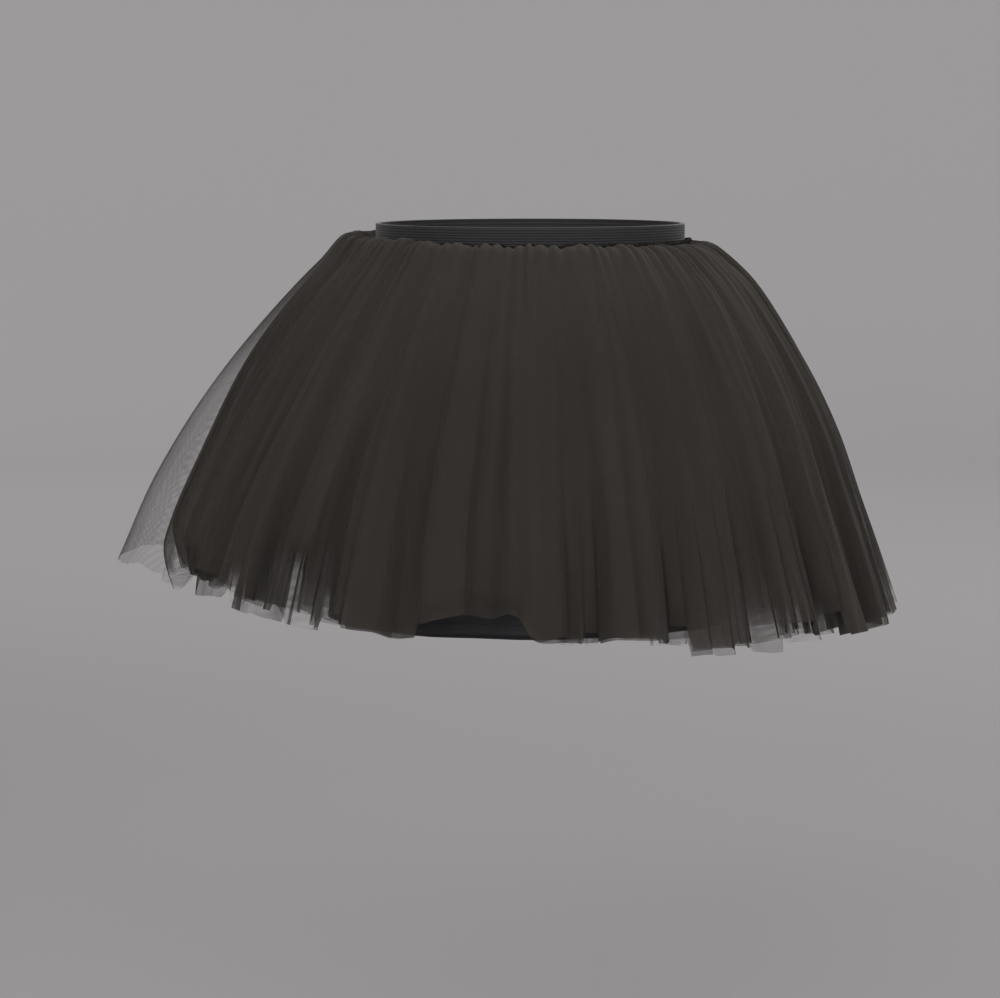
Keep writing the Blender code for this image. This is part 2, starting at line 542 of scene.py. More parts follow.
class SkirtForm:
    """The smooth surface that the outermost skirt's flutes stand on."""

    LENGTH = 0.285
    REACH_AT_BAND = 0.105
    REACH_GROWTH = 0.14
    SECTIONS = (
        Section(0.00, 0.1036, -0.0030, 0.1036, -0.0030, 0.0886, -0.0030, 0.0886, -0.0030),
        Section(0.06, 0.1190, +0.0050, 0.1180, -0.0040, 0.1045, -0.0005, 0.1060, +0.0010),
        Section(0.15, 0.1380, -0.0120, 0.1380, -0.0185, 0.1230, -0.0185, 0.1280, -0.0160),
        Section(0.31, 0.1705, -0.0460, 0.1660, -0.0560, 0.1420, -0.0560, 0.1520, -0.0520),
        Section(0.52, 0.2095, -0.0940, 0.1950, -0.1110, 0.1640, -0.1120, 0.1780, -0.1070),
        Section(0.76, 0.2460, -0.1520, 0.2165, -0.1770, 0.1870, -0.1740, 0.2010, -0.1700),
        Section(1.00, 0.2700, -0.2050, 0.2350, -0.2420, 0.2060, -0.2330, 0.2170, -0.2290),
    )
    # The net hems hang lower (a positive fall) or higher than their even line at these angles
    HEM_FALLS = (  # degrees, half width in degrees, fall
        (180, 34, +0.005),
        (-60, 24, +0.004),
        (-98, 12, -0.014),
        (-92, 4, -0.006),
        (-138, 42, -0.011),
    )
    STEP_ANGLE = 0.004
    STEP_DROP = 0.004

    def __init__(self) -> None:
        """Fit a smooth curve through the sections."""
        table = np.array([astuple(section) for section in self.SECTIONS])
        self.drops = table[:, 0]
        self.sizes = table[:, 1:]
        gaps = np.diff(self.drops)[:, None]
        rises = np.diff(self.sizes, axis=0) / gaps
        inner = (rises[:-1] * gaps[1:] + rises[1:] * gaps[:-1]) / (gaps[1:] + gaps[:-1])
        self.slopes = np.vstack((rises[:1], inner, rises[-1:]))

    def sizes_at(self, drop: np.ndarray) -> np.ndarray:
        """Each section size at these shares of the way down.

        Args:
            drop: Shares from 0 at the band to 1 at the hem.

        Returns:
            One row of eight sizes for each share.
        """
        row, share = spans(self.drops, np.clip(drop, 0.0, 1.0))
        gap = (self.drops[row + 1] - self.drops[row])[:, None]
        t = share[:, None]
        start = self.sizes[row] * (1 + 2 * t) * (1 - t) ** 2 + self.slopes[row] * gap * t * (1 - t) ** 2
        end = self.sizes[row + 1] * t * t * (3 - 2 * t) - self.slopes[row + 1] * gap * t * t * (1 - t)
        return start + end

    def reach(self, drop: np.ndarray) -> np.ndarray:
        """Roughly how far the cloth is from the middle of the waist."""
        return self.REACH_AT_BAND + self.REACH_GROWTH * drop

    def points(self, angle: np.ndarray, drop: np.ndarray) -> np.ndarray:
        """Points of the smooth surface.

        Args:
            angle: Angles round the waist, 0 at the front view's right.
            drop: Shares of the way down.

        Returns:
            One point for each pair.
        """
        sizes = self.sizes_at(drop)
        turned, risen = np.cos(angle), np.sin(angle)
        right, back = turned > 0, risen > 0
        reach_x = np.where(right, sizes[:, 2], sizes[:, 0])
        reach_y = np.where(back, sizes[:, 6], sizes[:, 4])
        height = (
            np.where(right, sizes[:, 3], sizes[:, 1]) * turned**2
            + np.where(back, sizes[:, 7], sizes[:, 5]) * risen**2
        )
        return np.stack((reach_x * turned, reach_y * risen, height), axis=1)

    def frame(self, angle: np.ndarray, drop: np.ndarray) -> tuple[np.ndarray, ...]:
        """The surface's points and directions.

        Args:
            angle: Angles round the waist.
            drop: Shares of the way down.

        Returns:
            The points, and the unit directions out of the cloth, down it and round it.
        """
        low = np.clip(drop, 0, 1 - self.STEP_DROP) + self.STEP_DROP
        high = low - 2 * self.STEP_DROP
        down = unit(self.points(angle, low) - self.points(angle, high))
        ahead = self.points(angle + self.STEP_ANGLE, drop)
        around = unit(ahead - self.points(angle - self.STEP_ANGLE, drop))
        return self.points(angle, drop), unit(np.cross(down, around)), down, around

    def hem_fall(self, angle: np.ndarray) -> np.ndarray:
        """How far the hems hang below their even line."""
        return sum(fall * swell(angle, math.radians(at), math.radians(half))
                   for at, half, fall in self.HEM_FALLS)


class Loop:
    """A value that eases from one control angle to the next, all round the waist."""

    def __init__(self, controls: list[tuple[float, float]]) -> None:
        """Keep the control angles, in order round the waist, with their values.

        Args:
            controls: Pairs of an angle and its value.
        """
        ordered = sorted((turn_from(angle), value) for angle, value in controls)
        first, last = ordered[0], ordered[-1]
        wrapped = [(last[0] - TURN, last[1]), *ordered, (first[0] + TURN, first[1])]
        self.angles, self.values = (np.array(column) for column in zip(*wrapped))

    def at(self, angle: np.ndarray) -> np.ndarray:
        """The eased value at each angle."""
        i, share = spans(self.angles, turn_from(angle))
        return self.values[i] + (self.values[i + 1] - self.values[i]) * eased(share)


class Folds:
    """Upright folds that lie side by side all round the waist.

    Each corner keeps its angle, its fold's number, its level and its place in the fold.
    """

    # Where a fold's wave turns, as shares of its width: the valley's end, the crest, the valley
    CORNERS = ((0.03, -1), (0.22, +1), (0.60, +1), (0.79, -1))
    # Which way a crest's two edges bulge over the valleys beside them
    BULGES = (0, -1, 1, 0)

    def __init__(self) -> None:
        """Start with no folds."""
        self.corners: list[tuple[float, int, float, int]] = []
        self.count = 0

    def lay(self, start: float, span: float, widths: list[float], depths: list[float]) -> None:
        """Lay folds side by side.

        Args:
            start: The angle where the first begins.
            span: The angle that they fill.
            widths: Their widths against each other.
            depths: Their depths against the usual one.
        """
        angle = start
        for width, depth in zip(widths, depths):
            turn = span * width / sum(widths)
            for place, (share, level) in enumerate(self.CORNERS):
                self.corners.append((angle + share * turn, self.count, level * depth, place))
            angle += turn
            self.count += 1

    def level(self) -> Loop:
        """-1 in a valley and 1 on a crest of the usual depth."""
        return Loop([(angle, level) for angle, _, level, _ in self.corners])

    def each(self, values: list[float]) -> Loop:
        """A loop with one value for each fold."""
        return Loop([(angle, values[fold]) for angle, fold, _, _ in self.corners])

    def hems(self, drops: list[float], rises: list[float]) -> Loop:
        """A loop with one drop for each crest, and valleys that rise from it."""
        return Loop([(angle, drops[fold] - (rises[fold] if level < 0 else 0.0))
                     for angle, fold, level, _ in self.corners])

    def slides(self, bulges: list[float], leans: list[float]) -> Loop:
        """A loop of sideways moves: each crest's edges part, and the whole fold leans."""
        return Loop([(angle, self.BULGES[place] * bulges[fold] + leans[fold])
                     for angle, fold, _, place in self.corners])


class Flutes(Folds):
    """The large waves that every skirt shares, placed as the solid panels have them."""

    PER_PANEL = 14
    PANEL_STARTS = (-math.pi, 0.0)
    WIDTH_SCATTER = 0.34
    DEPTH_SCATTER = 0.30
    SEED = 7
    SLIDE_SEED = 91
    BULGES_OUT = (0.0005, 0.0020)
    LEANS = (-0.0030, 0.0030)
    DEPTH_AT_BAND = 0.0007
    DEPTH_AT_HEM = 0.0070
    GROWTH = 1.2
    GROWTH_SCATTER = (1.1, 2.0)

    def __init__(self) -> None:
        """Lay the flutes out, panel by panel, and draw how each one bulges and leans."""
        super().__init__()
        for side, start in zip(PANELS, self.PANEL_STARTS):
            scatter = random.Random(self.SEED + len(side))
            widths, depths = ([1 + share * draw for draw in draws(scatter, (-1, 1), self.PER_PANEL)]
                              for share in (self.WIDTH_SCATTER, self.DEPTH_SCATTER))
            self.lay(start, math.pi, widths, depths)
        own = random.Random(self.SLIDE_SEED)
        self.slide = self.slides(draws(own, self.BULGES_OUT, self.count), draws(own, self.LEANS, self.count))
        self.growth = self.each(draws(own, self.GROWTH_SCATTER, self.count))

    def depth(self, angle: np.ndarray, drop: np.ndarray) -> np.ndarray:
        """Half a wave's height at this angle and share of the way down."""
        grown = drop ** (self.GROWTH * self.growth.at(angle))
        return self.DEPTH_AT_BAND + (self.DEPTH_AT_HEM - self.DEPTH_AT_BAND) * grown


@dataclass(frozen=True)
class Tab:
    """One flat fold end of a hem, from its left edge to the next one's.

    It falls below the hem's even line by one amount at its left edge and by another at its right.
    A notch parts it from its neighbours. Over a share of the cloth above its end it may thin out to
    one thickness.
    """

    degrees: float
    fall: float
    fall_at_end: float
    notch: float
    thin: float
    thin_reach: float


def tab_table(*rows: tuple[float, ...]) -> tuple[Tab, ...]:
    """Tabs from rows in millimetres, each short where it ends as a usual tab does.

    Args:
        rows: Each tab's numbers, in the order of Tab's fields.

    Returns:
        The tabs.
    """
    full = ((*row, *USUAL_TAB[len(row):]) for row in rows)
    return tuple(Tab(degrees, fall * MM, fall_at_end * MM, notch * MM, thin, reach)
                 for degrees, fall, fall_at_end, notch, thin, reach in full)


class Pleats(Folds):
    """One skirt's own small folds, which part its hem into square tabs.

    The tabs of the front are listed, and the rest are scattered like them.
    """

    CORNERS = ((0.03, -1), (0.06, +1), (0.88, +1), (0.91, -1))
    START = 0.50
    PLACED_DEPTHS = (0.5, 1.1)
    FLAT_WHERE_THIN = 0.8
    WIDTHS = (0.5, 1.6)
    DEPTHS = (0.35, 1.2)
    BULGES_OUT = (0.0002, 0.0010)
    NOTCHES = (0.0005, 0.0010, 0.0015, 0.0050)
    THINNINGS = (0.0, 0.3, 0.7, 1.0)
    THIN_REACHES = (0.03, 0.05, 0.05, 0.12)

    def __init__(self, count: int, depth: float, drop: float, seed: int, placed: tuple[Tab, ...]) -> None:
        """Lay the pleats out.

        Args:
            count: How many would go round the waist if all were scattered.
            depth: Half a pleat's height at the hem.
            drop: How far a scattered tab may hang below or above the hem's even line.
            seed: The seed of their scatter.
            placed: The listed tabs, in order; the last only ends the one before.
        """
        super().__init__()
        own = random.Random(seed)
        self.usual_depth = depth
        starts = [math.radians(tab.degrees) for tab in placed]
        turns = [end - start for start, end in zip(starts, starts[1:])]
        tabs = list(placed[:-1])
        depths = draws(own, self.PLACED_DEPTHS, len(tabs))
        depths = [depth * (1 - self.FLAT_WHERE_THIN * tab.thin) for depth, tab in zip(depths, tabs)]
        self.lay(starts[0], sum(turns), turns, depths)
        left = TURN - sum(turns)
        scattered = round(count * left / TURN)
        self.lay(starts[-1], left, draws(own, self.WIDTHS, scattered), draws(own, self.DEPTHS, scattered))
        for _ in range(scattered):
            fall = own.uniform(-drop, drop)
            tabs.append(Tab(0.0, fall, fall, own.choice(self.NOTCHES), own.choice(self.THINNINGS),
                            own.choice(self.THIN_REACHES)))
        self.placed = self.each([1.0] * len(turns) + [0.0] * scattered)
        self.drop = self.tab_line(tabs)
        self.slide = self.slides(draws(own, self.BULGES_OUT, len(tabs)), [0.0] * len(tabs))
        self.thin = self.each([tab.thin for tab in tabs])
        self.thin_reach = self.each([tab.thin_reach for tab in tabs])
        self.wave = self.level()

    def tab_line(self, tabs: list[Tab]) -> Loop:
        """A loop of the tabs' falls, with the notches between them.

        Args:
            tabs: One tab for each fold.

        Returns:
            The loop.
        """
        controls = []
        for angle, fold, level, place in self.corners:
            tab = tabs[fold]
            fall = tab.fall if place < len(self.CORNERS) / 2 else tab.fall_at_end
            controls.append((angle, fall - (tab.notch if level < 0 else 0.0)))
        return Loop(controls)

    def height(self, angle: np.ndarray, drop: np.ndarray) -> np.ndarray:
        """How far the pleats stand out of the cloth."""
        return self.usual_depth * eased((drop - self.START) / (1 - self.START)) * self.wave.at(angle)

    def thinning(self, angle: np.ndarray, drop: np.ndarray) -> np.ndarray:
        """How far the folds open out to a single thickness near the hem."""
        return self.thin.at(angle) * opened(drop, self.thin_reach.at(angle))


@dataclass(frozen=True)
class Crease:
    """A soft ridge, or a trough where its height is negative, that runs down the cloth."""

    degrees: float
    top: float
    bottom: float
    half_width: float
    height: float
    lean: float
    FADE_IN = 0.10
    FADE_OUT = 0.14

    def at(self, angle: np.ndarray, drop: np.ndarray, reach: np.ndarray) -> np.ndarray:
        """How far it lifts the cloth.

        Args:
            angle: Angles round the waist.
            drop: Shares of the way down.
            reach: How far the cloth is from the middle of the waist.

        Returns:
            The lift at each place.
        """
        middle = math.radians(self.degrees) + math.radians(self.lean) * drop
        away = np.abs(turn_from(angle, middle)) * reach
        across = 1 - eased(away / self.half_width)
        along = eased((drop - self.top) / self.FADE_IN) * eased((self.bottom - drop) / self.FADE_OUT)
        return self.height * across * along


def crease_table(*rows: tuple[float, ...]) -> tuple[Crease, ...]:
    """Creases from rows that give their half widths and heights in millimetres."""
    return tuple(Crease(degrees, top, bottom, half_width * MM, height * MM, lean)
                 for degrees, top, bottom, half_width, height, lean in rows)


# The main creases, from the left round the front and the right to the back
NET_CREASES = crease_table(  # degrees, top, bottom, half width, height, lean
    (-163, 0.20, 0.95, 10, +2.2, -4),
    (-152, 0.08, 0.60, 7, -1.6, -5),
    (-141, 0.35, 1.20, 9, -2.4, -3),
    (-130, 0.05, 0.55, 12, +1.8, -4),
    (-121, 0.45, 1.20, 7, -2.0, +2),
    (-112, 0.15, 0.80, 11, +1.6, -2),
    (-101, 0.04, 0.42, 6, -1.4, -1),
    (-93, 0.30, 1.20, 10, +1.8, +2),
    (-82, 0.10, 0.66, 8, -1.6, +1),
    (-71, 0.50, 1.20, 9, +2.2, +3),
    (-62, 0.06, 0.50, 10, -1.8, +4),
    (-52, 0.25, 0.90, 7, -2.0, +3),
    (-41, 0.12, 0.72, 12, +2.0, +5),
    (-30, 0.40, 1.20, 8, -2.2, +3),
    (-16, 0.10, 0.85, 9, +1.8, +2),
    (4, 0.05, 0.60, 8, -1.6, -2),
    (19, 0.30, 1.20, 11, +2.0, -4),
    (37, 0.08, 0.58, 7, -1.8, +3),
    (52, 0.22, 0.94, 10, +2.2, -2),
    (68, 0.05, 0.47, 8, -1.4, +1),
    (83, 0.36, 1.20, 9, -2.2, -3),
    (97, 0.10, 0.70, 12, +1.8, +2),
    (111, 0.28, 1.20, 7, -2.0, +4),
    (127, 0.06, 0.52, 9, +1.6, -2),
    (142, 0.18, 0.88, 10, -2.0, +5),
    (158, 0.42, 1.20, 8, +2.0, -3),
)
LINING_CREASES = crease_table(
    (-158, 0.10, 0.90, 9, +1.4, +6),
    (-124, 0.30, 1.20, 7, -1.2, -4),
    (-97, 0.05, 0.60, 10, +1.0, -5),
    (-68, 0.40, 1.20, 8, +1.4, +4),
    (-31, 0.15, 0.80, 9, -1.2, -6),
    (12, 0.25, 1.20, 7, +1.2, +5),
    (49, 0.05, 0.70, 10, -1.0, +3),
    (86, 0.35, 1.20, 9, +1.4, -4),
    (121, 0.10, 0.65, 8, -1.2, +5),
    (163, 0.30, 0.95, 7, +1.0, -3),
)


def creased(creases: tuple[Crease, ...], angle: np.ndarray, drop: np.ndarray,
            reach: np.ndarray) -> np.ndarray:
    """How far a table of creases lifts the cloth, at these places."""
    return sum(crease.at(angle, drop, reach) for crease in creases)


class Gathers:
    """The narrow ridges under the band that run out into the flutes."""

    COUNT = 116
    WIDTH_SCATTER = 0.45
    DEPTH = 0.0026
    DEPTH_AT_STITCHES = 0.0005
    DEPTH_SHARES = (0.45, 1.0)
    LENGTHS = (0.16, 0.62)
    FULL_AT = 0.05
    SHARPNESS = 1.4
    SEED = 19

    def __init__(self) -> None:
        """Lay the ridges out round the band."""
        scatter = random.Random(self.SEED)
        widths = 1 + self.WIDTH_SCATTER * np.array(draws(scatter, (-1, 1), self.COUNT))
        self.edges = np.concatenate(((0.0,), np.cumsum(widths))) * TURN / widths.sum() - math.pi
        self.depths = np.array(draws(scatter, self.DEPTH_SHARES, self.COUNT))
        self.lengths = np.array(draws(scatter, self.LENGTHS, self.COUNT))

    def height(self, angle: np.ndarray, drop: np.ndarray) -> np.ndarray:
        """How far the ridges stand out of the cloth.

        Args:
            angle: Angles round the waist.
            drop: Shares of the way down.

        Returns:
            The height at each place.
        """
        i, share = spans(self.edges, turn_from(angle))
        ridge = np.sin(math.pi * np.clip(share, 0, 1)) ** self.SHARPNESS
        rising = self.DEPTH_AT_STITCHES + (self.DEPTH - self.DEPTH_AT_STITCHES) * eased(drop / self.FULL_AT)
        return rising * self.depths[i] * ridge * (1 - eased(drop / self.lengths[i]))


# ---- Pieces ----


def grid(columns: int, rows: int) -> bmesh.types.BMesh:
    """A flat grid over the unit square, to be laid over a surface.

    Args:
        columns: How many faces it has across.
        rows: How many it has down.

    Returns:
        The grid.
    """
    builder = bmesh.new()
    bmesh.ops.create_grid(builder, x_segments=columns, y_segments=rows, size=0.5)
    bmesh.ops.translate(builder, verts=builder.verts, vec=(0.5, 0.5, 0.0))
    return builder


def grid_shares(builder: bmesh.types.BMesh) -> tuple[np.ndarray, np.ndarray]:
    """The across and down shares of each vertex of a flat grid."""
    places = np.array([vertex.co[:2] for vertex in builder.verts])
    return places[:, 0], places[:, 1]


def lay(builder: bmesh.types.BMesh, points: np.ndarray) -> None:
    """Move each vertex to its point."""
    for vertex, point in zip(builder.verts, points):
        vertex.co = point


def map_cut(builder: bmesh.types.BMesh, width: float, length: float, offset: float = 0.0) -> None:
    """Write the flat cloth's own coordinates as the UV map, before the grid is laid.

    Args:
        builder: The flat grid.
        width: The cloth's width.
        length: The cloth's length.
        offset: How far to slide the weave, so that layers differ.
    """
    layer = builder.loops.layers.uv.new("cut")
    for face in builder.faces:
        for corner in face.loops:
            across, down = corner.vert.co[:2]
            corner[layer].uv = (across * width + offset, down * length + offset)


def keep_fullness(builder: bmesh.types.BMesh, values: Iterable[float]) -> None:
    """Keep how many thicknesses of net each vertex stands for, which the net's finish reads.

    Args:
        builder: The net's mesh.
        values: One number for each vertex.
    """
    layer = builder.verts.layers.float.new("fullness")
    for vertex, value in zip(builder.verts, values):
        vertex[layer] = value


def close_ring(builder: bmesh.types.BMesh) -> None:
    """Weld the first and last columns, and turn the faces outwards."""
    bmesh.ops.remove_doubles(builder, verts=builder.verts, dist=WELD)
    bmesh.ops.recalc_face_normals(builder, faces=builder.faces)


def show(name: str, builder: bmesh.types.BMesh, finish: bpy.types.Material) -> bpy.types.Object:
    """Make a smooth object from a bmesh and put it in the scene.

    Args:
        name: The object's name.
        builder: Its shape, which is freed.
        finish: Its material.

    Returns:
        The object.
    """
    mesh = bpy.data.meshes.new(name)
    builder.to_mesh(mesh)
    builder.free()
    mesh.shade_smooth()
    mesh.materials.append(finish)
    made = bpy.data.objects.new(name, mesh)
    bpy.context.scene.collection.objects.link(made)
    return made


def piece(name: str, builder: bmesh.types.BMesh, finish: bpy.types.Material) -> bpy.types.Object:
    """Make a piece of the garment, which rides on it.

    Args:
        name: The piece's name.
        builder: Its shape, which is freed.
        finish: Its material.

    Returns:
        The piece.
    """
    made = show(name, builder, finish)
    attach(made, BODY)
    return made


@dataclass
class NetSkirt:
    """One gathered net skirt: a single sheet seamed at both sides.

    The fans are how far it lies inside the outermost skirt at the hem, side by side. At the left
    the cloth is calm, and all but the outermost lie further in by the wing's step and a pinch above
    the hem, so that the outermost swings out alone. A tuck draws a hem in further there.
    """

    name: str
    order: int
    fan_left: float
    fan_right: float
    fan_front: float
    fan_back: float
    calm_left: float
    longer: float
    hem_scatter: float
    seed: int
    fullness: float
    pleats: int
    pleat_depth: float
    hem_steps: float
    tabs: tuple[Tab, ...]
    tuck_left: float = 0.0
    sheer_right: float = 0.0
    sheer_hem: float = 0.0
    cut_width: float = 1.60
    weave_shift: float = 0.0137
    columns: int = 1344
    rows: int = 52
    row_growth: float = 1.35
    # Under the band: the layers' pitch, the raw heading above the stitches and its ruffle
    pitch: float = 0.00165
    settled_at: float = 0.06
    heading: float = 0.0040
    ruffle: float = 0.35
    ruffle_depth: float = 0.5
    ruffles: int = 173
    ruffle_drifts: int = 31
    ruffle_drift: float = 2.0
    pull_to_band: float = 0.0013
    pull_reach: float = 0.016
    # The room kept from the next skirt out, at the band and further down
    least_gap: float = 0.0005
    more_gap: float = 0.0022
    gap_full_at: float = 0.35
    # The calm left side
    calm_half: float = math.radians(50)
    calm_spread: float = 1.7
    calm_steps: float = 0.3
    calm_gathers: float = 2.5
    wing_step: float = 0.029
    wing_growth: float = 1.7
    pinch: float = 0.0043
    pinch_at: float = 0.66
    pinch_half: float = 0.32
    tuck_start: float = 0.89
    tuck_growth: float = 1.7
    # The folds and the hem
    valley_rise: float = 0.0030
    hem_start: float = 0.62
    slide_growth: float = 1.5
    ripples: int = 5
    ripple_counts: tuple = (46, 118)
    ripple_twists: tuple = (-3.0, 3.0)
    ripple_sizes: tuple = (0.0002, 0.0006)
    ripple_turn: float = 4.0
    ripple_full_at: float = 0.5
    pleat_seed: int = 17
    ripple_seed: int = 31
    # How many thicknesses show
    sheer_left: float = 1.08
    sheer_right_half: float = 0.32
    streaks: float = 0.3
    gather_layers: float = 3.2
    gathers_reach: float = 0.55
    gathers_lost: float = 0.3

    def build(self, form: SkirtForm, flutes: Flutes, gathers: Gathers, outer: "NetSkirt | None",
              finish: bpy.types.Material) -> bpy.types.Object:
        """Build the sheet.

        Args:
            form: The surface that it stands on.
            flutes: The large waves.
            gathers: The ridges under the band.
            outer: The next skirt outside it, which it stays clear of.
            finish: The net material.

        Returns:
            The skirt.
        """
        self.form, self.flutes, self.gathers, self.outer = form, flutes, gathers, outer
        self.shape_folds()
        builder = grid(self.columns, self.rows)
        across, along = grid_shares(builder)
        map_cut(builder, self.cut_width, form.LENGTH, self.weave_shift * self.order)
        angle = across * TURN - math.pi
        drop = self.drop_of(along)
        keep_fullness(builder, self.fullness_at(angle, drop))
        lay(builder, self.place(angle, drop))
        close_ring(builder)
        made = piece(self.name, builder, finish)
        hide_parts(*(f"{self.name}_{side}" for side in PANELS))
        return made

    def drop_of(self, along: np.ndarray) -> np.ndarray:
        """The share of the way down for each grid row, closer together at the top."""
        top = -self.heading / self.form.LENGTH if self.order == 0 else 0.0
        return top + (1 - top) * along**self.row_growth

    def shape_folds(self) -> None:
        """Draw this skirt's own hem drops, pleats and ripples."""
        drops: list[float] = []
        for side in PANELS:
            scatter = random.Random(self.seed + len(side))
            drops += [self.hem_scatter * draw for draw in draws(scatter, (-1, 1), self.flutes.PER_PANEL)]
        self.level = self.flutes.level()
        self.hem_drop = self.flutes.hems(drops, [self.valley_rise] * len(drops))
        self.folds = Pleats(self.pleats, self.pleat_depth, self.hem_steps, self.seed * self.pleat_seed,
                            self.tabs)
        own = random.Random(self.seed * self.ripple_seed)
        self.waves = [(own.randint(*self.ripple_counts), own.uniform(0, TURN),
                       own.uniform(*self.ripple_twists), own.uniform(*self.ripple_sizes))
                      for _ in range(self.ripples)]

    def calm(self, angle: np.ndarray) -> np.ndarray:
        """1 where the cloth swings out smoothly at the left, and 0 where it is all folds."""
        return eased(self.calm_spread * swell(angle, math.pi, self.calm_half)) * self.calm_left

    def drawn_in(self, angle: np.ndarray, inside: np.ndarray) -> np.ndarray:
        """How far the left is drawn in: the wing's step, the pinch and the hem's tuck.

        Args:
            angle: Angles round the waist.
            inside: Shares of the way down, from 0 to 1.

        Returns:
            The distance inwards.
        """
        tucked = np.clip((inside - self.tuck_start) / (1 - self.tuck_start), 0, 1) ** self.tuck_growth
        drawn = self.tuck_left * swell(angle, math.pi, self.calm_half) * tucked
        if self.order > 0:
            pinched = self.pinch * hump((inside - self.pinch_at) / self.pinch_half)
            left = np.clip(-np.cos(angle), 0, None) ** 2
            drawn += (self.wing_step * inside**self.wing_growth + pinched) * left
        return drawn

    def offset(self, angle: np.ndarray, drop: np.ndarray) -> np.ndarray:
        """How far the cloth stands out of the shared form, kept inside the next skirt out.

        Args:
            angle: Angles round the waist.
            drop: Shares of the way down.

        Returns:
            The distance along the form's outward direction.
        """
        inside = np.clip(drop, 0, 1)
        turned, risen = np.cos(angle), np.sin(angle)
        side = np.where(turned > 0, self.fan_right, self.fan_left) * turned**2
        end = np.where(risen > 0, self.fan_back, self.fan_front) * risen**2
        settled = eased(inside / self.settled_at)
        calm = self.calm(angle)
        ripple = sum(size * np.cos(count * angle + phase + twist * inside * self.ripple_turn)
                     for count, phase, twist, size in self.waves)
        folded = self.flutes.depth(angle, inside) * self.level.at(angle)
        folded += ripple * eased(inside / self.ripple_full_at) * inside
        folded += self.folds.height(angle, inside)
        folded += creased(NET_CREASES, angle, inside, self.form.reach(inside))
        out = folded * (1 - calm) - self.pitch * self.order * settled
        out -= (side + end) * inside + self.drawn_in(angle, inside)
        out += self.gathers.height(angle, inside * (1 + self.calm_gathers * calm))
        if self.outer is not None:
            gap = self.least_gap + self.more_gap * eased(inside / self.gap_full_at)
            out = np.minimum(out, self.outer.offset(angle, drop) - gap * settled)
        return out

    def hem_fall(self, angle: np.ndarray, drop: np.ndarray) -> np.ndarray:
        """How far the cloth hangs below the form's even line, towards the hem.

        Args:
            angle: Angles round the waist.
            drop: Shares of the way down.

        Returns:
            The distance down the cloth.
        """
        placed = self.folds.placed.at(angle)
        steps = self.hem_drop.at(angle) * (1 - placed) + self.folds.drop.at(angle)
        steps *= np.maximum(1 - (1 - self.calm_steps) * self.calm(angle), placed)
        fall = self.form.hem_fall(angle) + self.longer + steps
        return fall * eased((drop - self.hem_start) / (1 - self.hem_start))

    def place(self, angle: np.ndarray, drop: np.ndarray, inset: float = 0.0) -> np.ndarray:
        """Points of the sheet.

        Args:
            angle: Angles round the waist.
            drop: Shares of the way down; below 0 is the raw heading above the stitches.
            inset: How far inside the cloth's own surface the points lie.

        Returns:
            One point for each pair.
        """
        base, outward, down, around = self.form.frame(angle, drop)
        level = unit(np.stack((around[:, 1], -around[:, 0], np.zeros(len(angle))), axis=1))
        inside = np.clip(drop, 0, 1)
        slide = self.flutes.slide.at(angle) + self.folds.slide.at(angle)
        slide *= inside**self.slide_growth * (1 - self.calm(angle))
        raised = np.clip(-drop, 0, None) * self.form.LENGTH
        lift = raised - self.pitch * self.order * (1 - eased(inside / self.settled_at))
        ruffle = np.sin(angle * self.ruffles + self.ruffle_drift * np.sin(angle * self.ruffle_drifts))
        leaned = raised * (self.ruffle + self.ruffle_depth * ruffle)
        leaned -= self.pull_to_band * np.exp(-((drop / self.pull_reach) ** 2))
        moves = ((outward, self.offset(angle, drop) - inset), (around, slide), (UP, lift), (level, leaned),
                 (down, self.hem_fall(angle, drop)))
        return base + sum(direction * distance[:, None] for direction, distance in moves)

    def fullness_at(self, angle: np.ndarray, drop: np.ndarray) -> np.ndarray:
        """How many thicknesses of net the gathers lay over each other.

        Args:
            angle: Angles round the waist.
            drop: Shares of the way down.

        Returns:
            1 for a single thickness, and more where it is folded finely.
        """
        inside = np.clip(drop, 0, 1)
        right = self.sheer_right * swell(angle, 0.0, self.sheer_right_half)
        sheer = np.clip(self.calm(angle) * self.sheer_left + right, 0, 1)
        streaks = sum(np.cos(count * angle + phase) for count, phase, _, _ in self.waves)
        more = (self.fullness - 1 + self.streaks * streaks) * (1 - sheer)
        gathered = self.gather_layers * (1 - eased(inside / self.gathers_reach))
        more += gathered * (1 - self.gathers_lost * sheer)
        thinned = self.folds.thinning(angle, inside)
        if self.sheer_hem > 0:
            thinned = np.maximum(thinned, opened(inside, self.sheer_hem))
        return 1 + np.clip(more, 0, None) * (1 - thinned)


@dataclass
class SideSeams:
    """The two narrow turnings inside a net skirt, where its front and back meet."""

    skirt: NetSkirt
    width: float = 0.0030
    inset: float = 0.0006
    top: float = 0.004
    length: float = 0.994
    columns: int = 4
    rows: int = 60
    fullness: float = 3.0

    def build(self, finish: bpy.types.Material) -> list[bpy.types.Object]:
        """Build one strip at each side."""
        return [self.strip(side, angle, finish) for side, angle in (("right", 0.0), ("left", math.pi))]

    def strip(self, side: str, seam: float, finish: bpy.types.Material) -> bpy.types.Object:
        """Build one strip along a seam.

        Args:
            side: Which side of the front view it is on.
            seam: The seam's angle.
            finish: The net material.

        Returns:
            The strip.
        """
        builder = grid(self.columns, self.rows)
        across, along = grid_shares(builder)
        form = self.skirt.form
        map_cut(builder, self.width, form.LENGTH)
        keep_fullness(builder, [self.fullness] * len(along))
        angle = seam + (across - 0.5) * self.width / form.reach(along)
        lay(builder, self.skirt.place(angle, self.top + self.length * along, self.inset))
        bmesh.ops.recalc_face_normals(builder, faces=builder.faces)
        return piece(f"{self.skirt.name}_seam_{side}", builder, finish)


